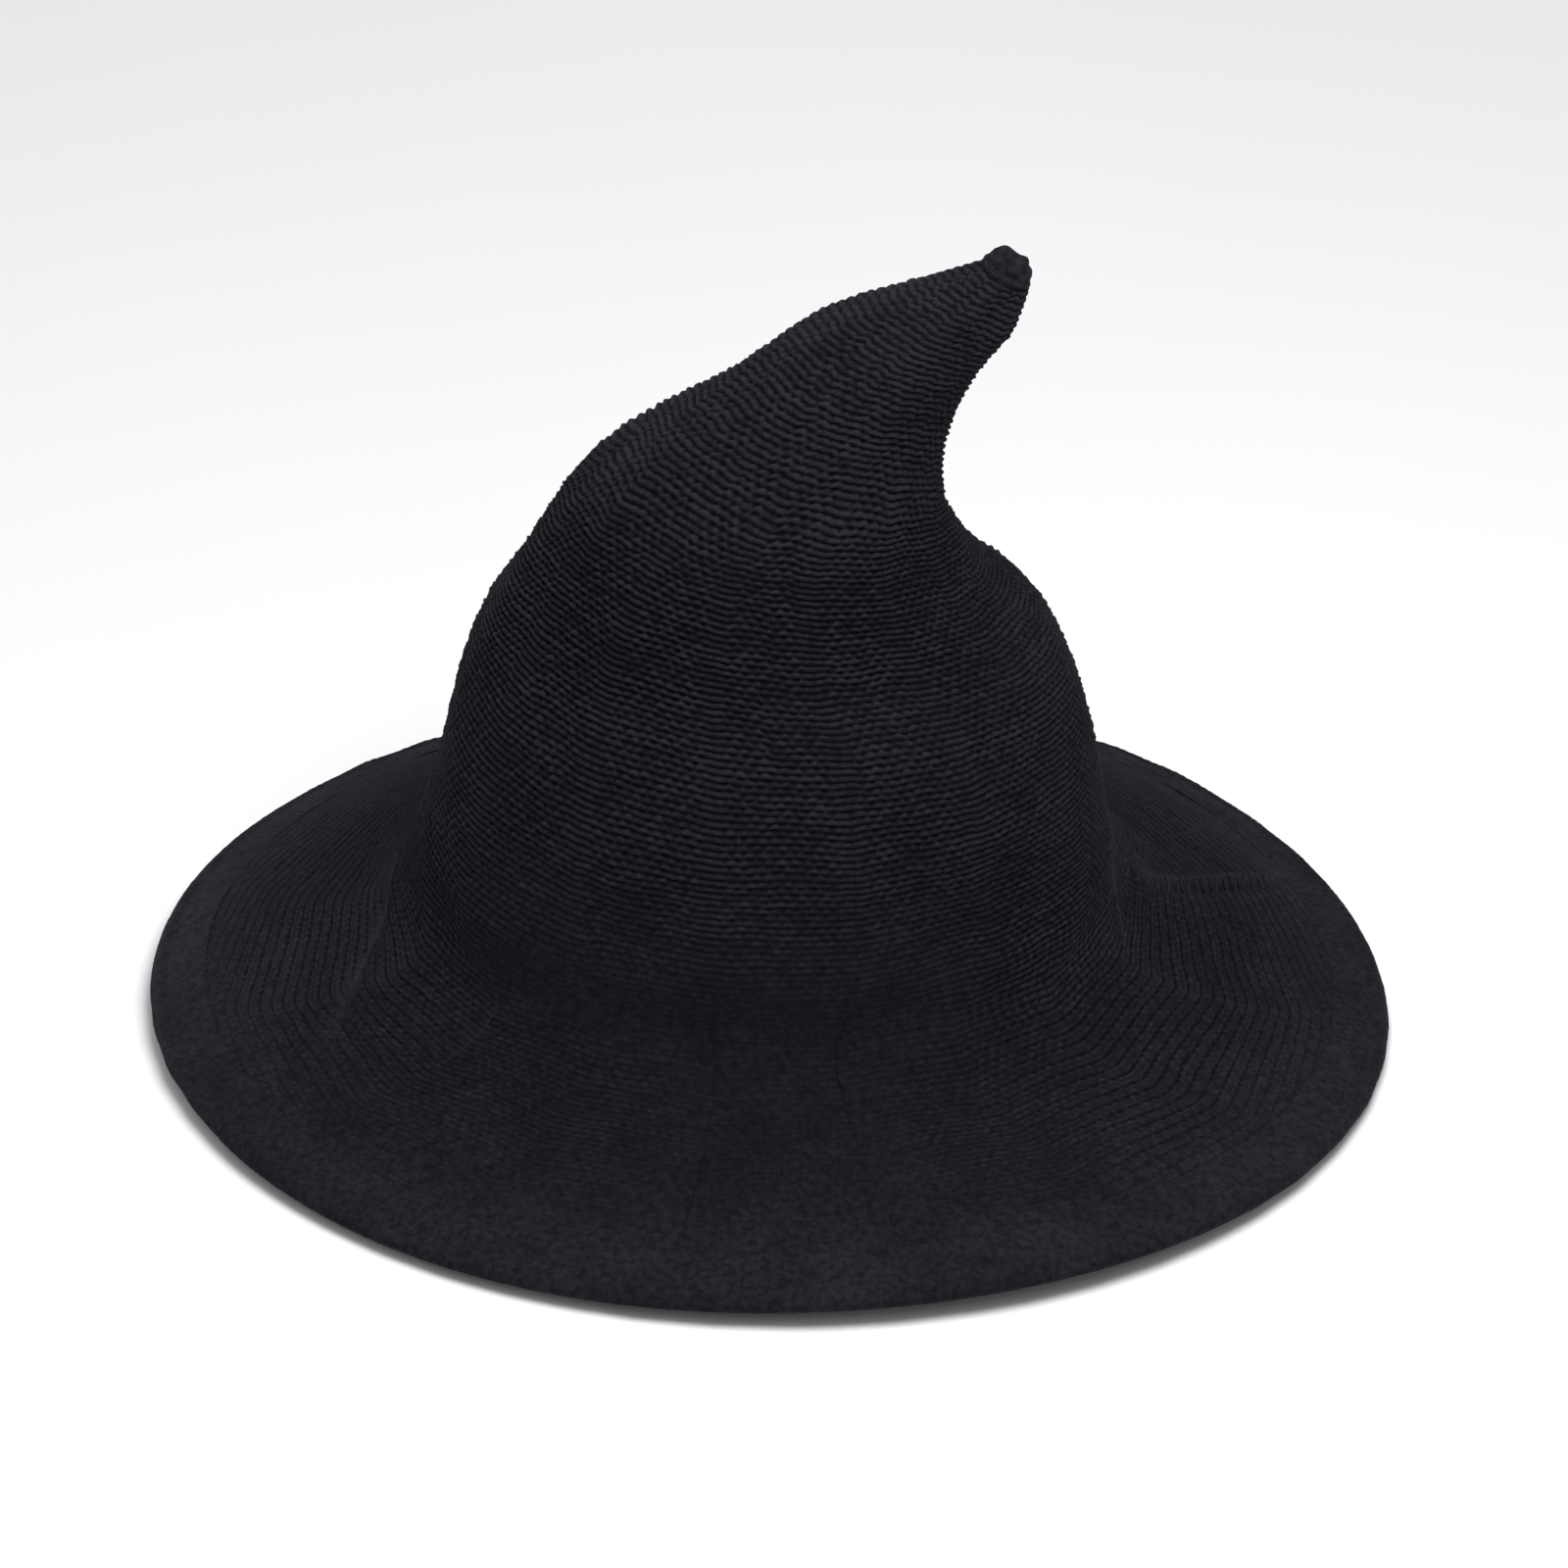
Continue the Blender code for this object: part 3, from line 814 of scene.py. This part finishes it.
def make_hem():
    """The fold at the rim: its top carries on the knit's own surface, pulled nearly smooth."""
    section = hem_section(HEM_POINTS)
    columns = 1500
    azimuth = (np.arange(columns) * TAU / columns)[None]
    radius, height = section[:, :1], section[:, 1:]
    outside = (np.arange(len(section)) < HEM_POINTS)[:, None]
    lower = len(PLACES) // 2  # the outline's lower half, where it only narrows
    length = np.interp(-radius, -RADII[:lower], LENGTHS[:lower])
    nap = 0.0001 * ripple(length, azimuth, 31, 500, 0.0022, 14)
    nap = (nap + 0.0002 * ripple(length, azimuth, 32, 60, 0.02)) * outside
    high = smoothstep(height, 0.001, 0.006)
    radius = radius + nap * (1 - high) * (height > 0.0012)
    height = height + nap * high + rim_wave(azimuth)
    grid = np.stack([radius * np.cos(azimuth), radius * np.sin(azimuth), height], axis=-1)
    u = azimuth * SECTIONS[0][3] / STITCH
    marks = np.stack(np.broadcast_arrays(u, length / COURSE, TONES_WITH_PAINTED_LIGHT[0]), axis=-1)
    hem = ring("hem_band", grid[::-1], FELT, marks[::-1].reshape(-1, 3))
    fixed(hem, "hat", "hem_fold")


# Where the wire's two ends meet, in radians from the back, and the gap between each end and there
WIRE_JOIN = 0.055
WIRE_GAP = 0.003

# The sleeve over the join: its radii outside and inside, and the depth and width of its two crimps
SLEEVE_OUTSIDE = 0.00165
SLEEVE_INSIDE = 0.00112
CRIMP = 0.00022
CRIMP_WIDTH = 0.1


def make_wire():
    """The hoop inside the hem, following the rim's waves, and its crimped sleeve."""
    low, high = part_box("brim_wire")
    radius = (high.x - low.x) / 2 - (high.z - low.z) / 2
    middle = (low.z + high.z) / 2
    start = TAU / 4 + WIRE_JOIN
    azimuth = np.linspace(start + WIRE_GAP, start + TAU - WIRE_GAP, 721)
    heights = middle + rim_wave(azimuth)
    path = np.stack([radius * np.cos(azimuth), radius * np.sin(azimuth), heights], axis=-1)
    wire = tube("hoop_wire", path, (high.z - low.z) / 2, STEEL, 12)
    fixed(wire, "hat", "brim_wire")
    low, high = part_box("wire_sleeve")
    centre = (low + high) / 2
    half = (high.x - low.x) / 2
    x = np.linspace(centre.x + half, centre.x - half, 61)
    azimuth = np.arccos(x / radius)
    path = np.stack([x, radius * np.sin(azimuth), middle + rim_wave(azimuth)], axis=-1)
    t = np.linspace(-1, 1, 61)
    crimp = CRIMP * sum(np.exp(-(((t - at) / CRIMP_WIDTH) ** 2)) for at in (-0.5, 0.5))
    outer = rings_round(path, SLEEVE_OUTSIDE - crimp, 20)
    inner = rings_round(path, SLEEVE_INSIDE, 20)
    grid = np.concatenate([outer, inner[::-1]])
    sleeve = new_mesh("hoop_sleeve", grid, [quads(*grid.shape[:2], wrap=True)[:, ::-1]], [STEEL])
    fixed(sleeve, "hat", "wire_sleeve")


def make_hem_thread():
    """Blind stitches that catch the fold's top edge and dip into the knit between."""
    count, per = 300, 8  # stitches, and points to each
    k = np.arange(count * per)
    azimuth = k * TAU / len(k)
    beat = k * TAU / per
    length = HEM_TOP_LENGTH + 0.0008 * np.sin(beat)
    points, normals = surface(length, azimuth)
    points = points + normals * (0.0003 * np.cos(beat) - 0.00035)[:, None]
    thread = tube("hem_thread", points, 0.0002, THREAD_LOOK, 6, closed=True)
    fixed(thread, "hat", "hem_stitching")


# The sweatband: its foot's height, its own height and thickness, how much its inner face narrows to
# the top, the radius of a 58 cm head, and the crown's centre there
BAND_FOOT = 0.056
BAND_HEIGHT = 0.024
BAND_THICKNESS = 0.0012
BAND_TAPER = 0.0050
HEAD_RADIUS = 0.58 / TAU
BAND_X = SECTIONS[4][0]
RIBS = 620


def band_radius(height):
    """The radius of the sweatband's inner face at a height."""
    return HEAD_RADIUS - BAND_TAPER * (height - BAND_FOOT) / BAND_HEIGHT


def make_sweatband():
    """The ribbon: upright ribs inside, a rolled edge at its foot and its top."""
    columns = RIBS * 3
    azimuth = (np.arange(columns) * TAU / columns)[None]
    t = np.linspace(0, 1, 9)
    heights = BAND_FOOT + BAND_HEIGHT * t
    bead = 0.00018 * (np.exp(-((t / 0.05) ** 2)) + np.exp(-(((1 - t) / 0.05) ** 2)))
    rib = 0.00013 * np.cos(RIBS * azimuth)
    inner = (band_radius(heights) + 0.0001 - bead)[:, None] - rib
    outer = (band_radius(heights) + BAND_THICKNESS - 0.0002)[:, None] + 0 * azimuth
    radius = np.vstack([outer, inner[::-1]])
    z = np.concatenate([heights, heights[::-1]])[:, None] + 0 * azimuth
    grid = np.stack([BAND_X + radius * np.cos(azimuth), radius * np.sin(azimuth), z], axis=-1)
    band = ring("grosgrain_band", grid, RIBBON)
    fixed(band, "hat", "sweatband")

    count, per = 220, 6  # stitches, and points to each
    k = np.arange(count * per)
    azimuth = k * TAU / len(k)
    beat = k * TAU / per
    height = BAND_FOOT + 0.0032 + 0.0007 * np.sin(beat)
    radius = band_radius(height) - 0.0002 - 0.0003 * np.cos(beat)
    path = np.stack([BAND_X + radius * np.cos(azimuth), radius * np.sin(azimuth), height], axis=-1)
    thread = tube("band_thread", path, 0.0003, THREAD_LOOK, 6, closed=True)
    fixed(thread, "hat", "sweatband_stitching")


def make_label():
    """A blank label hung by its top edge, bowed a little, with folded ends, and its tacks."""
    low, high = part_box("care_label")
    width, drop = high.x - low.x, high.z - low.z
    middle_x = (low.x + high.x) / 2
    y = (low.y + high.y) / 2
    columns, rows = 60, 40
    s = np.linspace(-0.5, 0.5, columns)
    t = np.linspace(0, 1, rows)
    t, s = np.meshgrid(t, s, indexing="ij")
    bow = 0.0011 * np.sin(t * 2.6) * (1 - 0.9 * (2 * s) ** 2) + 0.0005 * np.sin(7 * s + 3 * t) * t
    folded = 1 + 0.45 * smoothstep(np.abs(s), 0.44, 0.455)
    half = 0.00026 * folded
    x = middle_x + s * width
    z = high.z - t * drop
    front = np.stack([x, y - bow - half, z], axis=-1)
    back = np.stack([x, y - bow + half, z], axis=-1)
    around = np.concatenate([front, back[:, ::-1]], axis=1)
    loop = columns * 2
    faces = [quads(rows, loop)]
    caps = []
    for row in (0, rows - 1):
        a = row * loop + np.arange(columns - 1)
        b = row * loop + loop - 1 - np.arange(columns - 1)
        cap = np.stack([a, a + 1, b - 1, b], axis=-1)
        caps.append(cap if row == 0 else cap[:, ::-1])
    label = new_mesh("blank_label", around, faces + caps, [SATIN], [True, False, False])
    fixed(label, "label", "care_label")

    low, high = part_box("label_stitches")
    count, per = 13, 8  # stitches, and points to each
    k = np.arange(count * per + 1)
    x = np.linspace(low.x + 0.0004, high.x - 0.0004, len(k))
    height = (low.z + high.z) / 2 + 0.0006 * np.sin(k * TAU / per)
    path = np.stack([x, y + 0.0001 + 0.0003 * np.cos(k * TAU / per), height], axis=-1)
    tacks = tube("label_tacks", path, 0.0003, THREAD_LOOK, 8)
    fixed(tacks, "hat", "label_stitches")


def make_linking_seam():
    """The linking yarn: a whip stitch over the knit's two joined edges, one turn to each course."""
    start, end = length_at(LINK_START), length_at(LINK_END)
    turns, per = round((end - start) / COURSE), 14  # stitches, and points to each
    k = np.arange(turns * per + 1)
    length = np.linspace(start, end, len(k))
    place = place_at(length)
    radius = np.interp(length, LENGTHS, RADII)
    beat = k * TAU / per
    azimuth = link_azimuth(place) + 0.0011 * np.cos(beat) / radius
    points, normals = surface(length + 0.0006 * np.cos(beat), azimuth)
    path = points + normals * (-0.0003 + 0.0004 * np.sin(beat))[:, None]
    yarn = tube("linking_yarn", path, 0.0004, WOOL_YARN, 8)
    bent(yarn, "linking_seam")


# ---------------------------------------------------------------- the studio


# The soft lights: place, size and power. Both face a point in the hat.
KEY_LIGHT = ((0.12, -0.28, 0.86), 0.6, 7.0)
REAR_LIGHT = ((-0.1, 1.0, 1.1), 1.0, 1.3)
LIT_POINT = Vector((0, 0, 0.1))
SKY = 0.60
FLOOR_SIZE = 12


def make_floor():
    bpy.ops.mesh.primitive_plane_add(size=FLOOR_SIZE)
    floor = bpy.context.object
    floor.name = "floor"
    floor.data.materials.append(floor_look())


def soft_light(name, place, size, energy):
    data = bpy.data.lights.new(name, "AREA")
    data.shape = "DISK"
    data.size = size
    data.energy = energy
    light = bpy.data.objects.new(name, data)
    light.location = place
    light.rotation_euler = (LIT_POINT - Vector(place)).to_track_quat("-Z", "Y").to_euler()
    bpy.context.scene.collection.objects.link(light)


def make_studio():
    """An even white sky, a soft light from above, and a fainter one behind."""
    world = bpy.data.worlds.new("studio")
    world.use_nodes = True
    sky = world.node_tree.nodes["Background"].inputs
    sky["Color"].default_value = (1, 1, 1, 1)
    sky["Strength"].default_value = SKY
    bpy.context.scene.world = world
    soft_light("key", *KEY_LIGHT)
    soft_light("rear", *REAR_LIGHT)
    bpy.context.scene.view_settings.view_transform = "Standard"
    bpy.context.scene.view_settings.look = "None"


# The camera: how far it looks down, its turn about its own axis, its lens, and the width that it
# takes in at the point it aims at
ELEVATION = math.radians(29.2)
ROLL = math.radians(1.5)
LENS = 600
SENSOR = 36
VIEW_WIDTH = 0.4336
AIM = Vector((0.0024, 0, 0.0745))


def make_camera():
    """A long lens that looks down at the front, turned slightly about its own axis."""
    data = bpy.data.cameras.new("camera")
    data.lens = LENS
    data.sensor_width = SENSOR
    data.clip_end = 100
    camera = bpy.data.objects.new("camera", data)
    bpy.context.scene.collection.objects.link(camera)
    back = Vector((0, -math.cos(ELEVATION), math.sin(ELEVATION)))
    camera.location = AIM + back * (VIEW_WIDTH * LENS / SENSOR)
    upright = back.to_track_quat("Z", "Y").to_matrix().to_4x4()
    camera.rotation_euler = (upright @ Matrix.Rotation(ROLL, 4, "Z")).to_euler()
    bpy.context.scene.camera = camera


WOOL = wool_purl("wool_purl")
WOOL_INSIDE = wool_knit()
WOOL_YARN = wool_yarn()
FELT = wool_purl("hem_felt")
RIBBON = grosgrain()
THREAD_LOOK = thread_look()
SATIN = satin()
STEEL = steel()

make_camera()
make_studio()
make_floor()
make_knit()
make_tip()
make_hem()
make_hem_thread()
make_wire()
make_sweatband()
make_label()
make_linking_seam()
